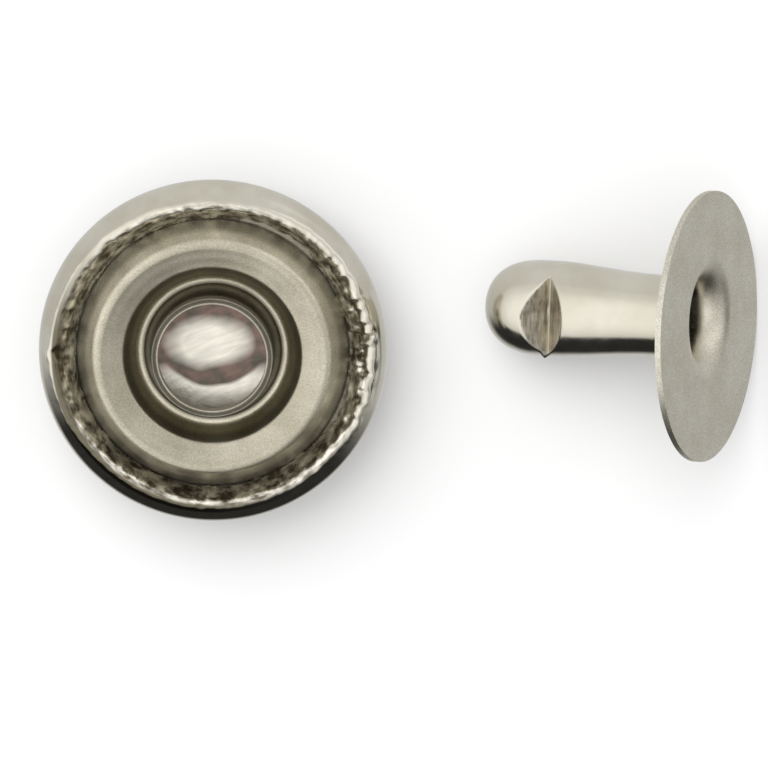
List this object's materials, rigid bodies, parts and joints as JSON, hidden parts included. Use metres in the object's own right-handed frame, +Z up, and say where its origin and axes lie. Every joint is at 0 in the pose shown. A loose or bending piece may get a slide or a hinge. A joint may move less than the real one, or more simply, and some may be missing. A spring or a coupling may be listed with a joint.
{
  "type": "two-part rapid rivet",
  "caption": "Unset rapid rivet in bright nickel plate: a domed cap with a socket plate crimped into it, lying beside its hollow flanged post, which has a closed, pinched end.",
  "frame": {"origin": "middle of the bounding box on the table the two pieces lie on", "axes": "+X from the cap to the post, the longest extent; +Z up from the table, the shortest"},
  "size_m": [0.0248, 0.012, 0.0085],
  "materials": {
    "shell_nickel": "bright nickel plate",
    "insert_nickel": "nickel plate over stamped sheet",
    "post_nickel": "bright nickel plate"
  },
  "bodies": {
    "root": {"cap_shell": "shell_nickel", "cap_insert": "insert_nickel", "post": "post_nickel"}
  },
  "joints": []
}
